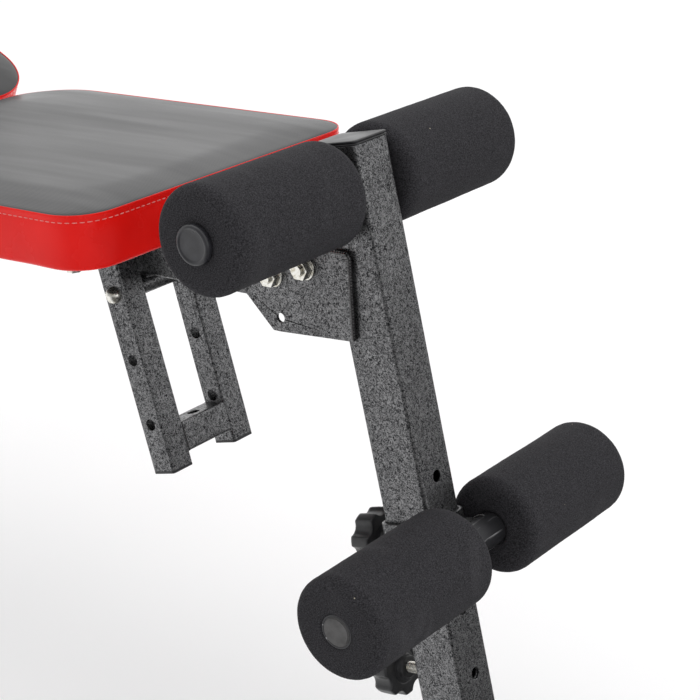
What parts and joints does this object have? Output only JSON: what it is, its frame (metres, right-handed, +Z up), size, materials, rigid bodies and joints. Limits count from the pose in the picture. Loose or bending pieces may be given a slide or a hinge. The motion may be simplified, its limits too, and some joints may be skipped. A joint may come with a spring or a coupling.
{
  "type": "decline sit up bench",
  "caption": "Folding tubular sit up bench with a padded seat, reclining padded backrest, foam leg rollers on a sliding carriage, telescoping front leg and folding rear leg.",
  "frame": {"origin": "on the floor, below the middle of the bench's overall length and width", "axes": "+X along the bench towards the foot end with the foam rollers, +Y across the bench, +Z up"},
  "size_m": [1.3338, 0.425, 0.8648],
  "materials": {
    "hammertone_paint": "silver-black hammertone powder coat, satin grain",
    "foam": "fine closed-cell foam, matt",
    "black_plastic": "moulded, slight sheen",
    "gloss_cap": "smooth moulded plastic",
    "grey_plug": "moulded plug",
    "zinc": "bright zinc plate",
    "red_vinyl": "glossy upholstery vinyl",
    "black_vinyl": "ribbed upholstery vinyl",
    "dust_cover": "black non-woven cloth stapled over the board",
    "weld_paint": "gloss black over weld bead",
    "rubber_shoe": "moulded rubber"
  },
  "bodies": {
    "frame": {"post_tube": "hammertone_paint", "post_cap": "black_plastic", "gusset_near": "hammertone_paint", "gusset_far": "hammertone_paint", "gusset_welds": "weld_paint", "gusset_bolts": "zinc", "gusset_nuts": "zinc", "rail_tube": "hammertone_paint", "rail_plugs": "black_plastic", "upper_bar": "hammertone_paint", "upper_cap_near": "gloss_cap", "upper_cap_far": "gloss_cap", "leg_nut": "zinc", "hanger_sleeve": "hammertone_paint", "seat_bearers": "hammertone_paint", "seat_board": "dust_cover", "seat_pad": "red_vinyl", "seat_screws": "zinc", "hinge_bolt": "zinc", "hinge_nut": "zinc", "clamp_nut": "zinc", "rear_lugs": "hammertone_paint", "rear_bolt": "zinc"},
    "roller_upper_near": {"foam_upper_near": "foam"},
    "roller_upper_far": {"foam_upper_far": "foam"},
    "carriage": {"carriage_sleeve": "hammertone_paint", "carriage_liner": "black_plastic", "carriage_nut": "zinc", "lower_bracket": "hammertone_paint", "lower_bar": "hammertone_paint", "lower_plug_near": "grey_plug", "lower_plug_far": "grey_plug"},
    "roller_lower_near": {"foam_lower_near": "foam"},
    "roller_lower_far": {"foam_lower_far": "foam"},
    "carriage_knob": {"carriage_knob": "black_plastic", "carriage_stud": "zinc"},
    "leg_knob": {"leg_knob": "black_plastic", "leg_stud": "zinc"},
    "front_leg": {"front_leg": "hammertone_paint", "front_foot": "hammertone_paint", "front_foot_caps": "rubber_shoe"},
    "stirrup": {"stirrup_leg_near": "hammertone_paint", "stirrup_leg_far": "hammertone_paint", "stirrup_channel": "hammertone_paint", "stirrup_caps": "black_plastic", "stirrup_bolt": "zinc", "stirrup_nut": "zinc"},
    "backrest": {"back_arm_near": "hammertone_paint", "back_arm_far": "hammertone_paint", "back_arm_plugs": "black_plastic", "back_bearers": "hammertone_paint", "back_board": "dust_cover", "back_pad": "red_vinyl", "back_screws": "zinc", "quadrants": "hammertone_paint"},
    "clamp_knob": {"clamp_knob": "black_plastic", "clamp_stud": "zinc"},
    "rear_leg": {"rear_leg": "hammertone_paint", "rear_foot": "hammertone_paint", "rear_foot_caps": "rubber_shoe"}
  },
  "joints": [
    {"name": "roller_upper_near_spin", "type": "hinge", "parent": "frame", "child": "roller_upper_near", "pos_m": [0.50783, -0.103, 0.595], "axis": [0, 1, 0], "continuous": true},
    {"name": "roller_upper_far_spin", "type": "hinge", "parent": "frame", "child": "roller_upper_far", "pos_m": [0.50783, 0.103, 0.595], "axis": [0, 1, 0], "continuous": true},
    {"name": "carriage_slide", "type": "slide", "parent": "frame", "child": "carriage", "axis": [0.2181, 0, -0.9759], "range_m": [-0.0585, 0.0585]},
    {"name": "roller_lower_near_spin", "type": "hinge", "parent": "carriage", "child": "roller_lower_near", "pos_m": [0.62445, -0.103, 0.31623], "axis": [0, 1, 0], "continuous": true},
    {"name": "roller_lower_far_spin", "type": "hinge", "parent": "carriage", "child": "roller_lower_far", "pos_m": [0.62445, 0.103, 0.31623], "axis": [0, 1, 0], "continuous": true},
    {"name": "carriage_knob_turn", "type": "hinge", "parent": "carriage", "child": "carriage_knob", "pos_m": [0.52762, 0, 0.291], "axis": [0.9759, 0, 0.2181], "continuous": true},
    {"name": "leg_knob_turn", "type": "hinge", "parent": "frame", "child": "leg_knob", "pos_m": [0.55358, 0, 0.17486], "axis": [0.9759, 0, 0.2181], "continuous": true},
    {"name": "front_leg_slide", "type": "slide", "parent": "frame", "child": "front_leg", "axis": [0.2181, 0, -0.9759], "range_m": [0, 0.117]},
    {"name": "stirrup_swing", "type": "hinge", "parent": "frame", "child": "stirrup", "pos_m": [0.29244, 0, 0.47477], "axis": [0, 1, 0], "range_deg": [-40, 50]},
    {"name": "backrest_recline", "type": "hinge", "parent": "frame", "child": "backrest", "pos_m": [-0.03129, 0, 0.50718], "axis": [0, 1, 0], "range_deg": [-27.5, 10]},
    {"name": "clamp_knob_turn", "type": "hinge", "parent": "frame", "child": "clamp_knob", "pos_m": [-0.12072, -0.06, 0.47825], "axis": [0, 1, 0], "continuous": true},
    {"name": "rear_leg_fold", "type": "hinge", "parent": "frame", "child": "rear_leg", "pos_m": [-0.38922, 0, 0.42899], "axis": [0, -1, 0], "range_deg": [0, 95]}
  ]
}
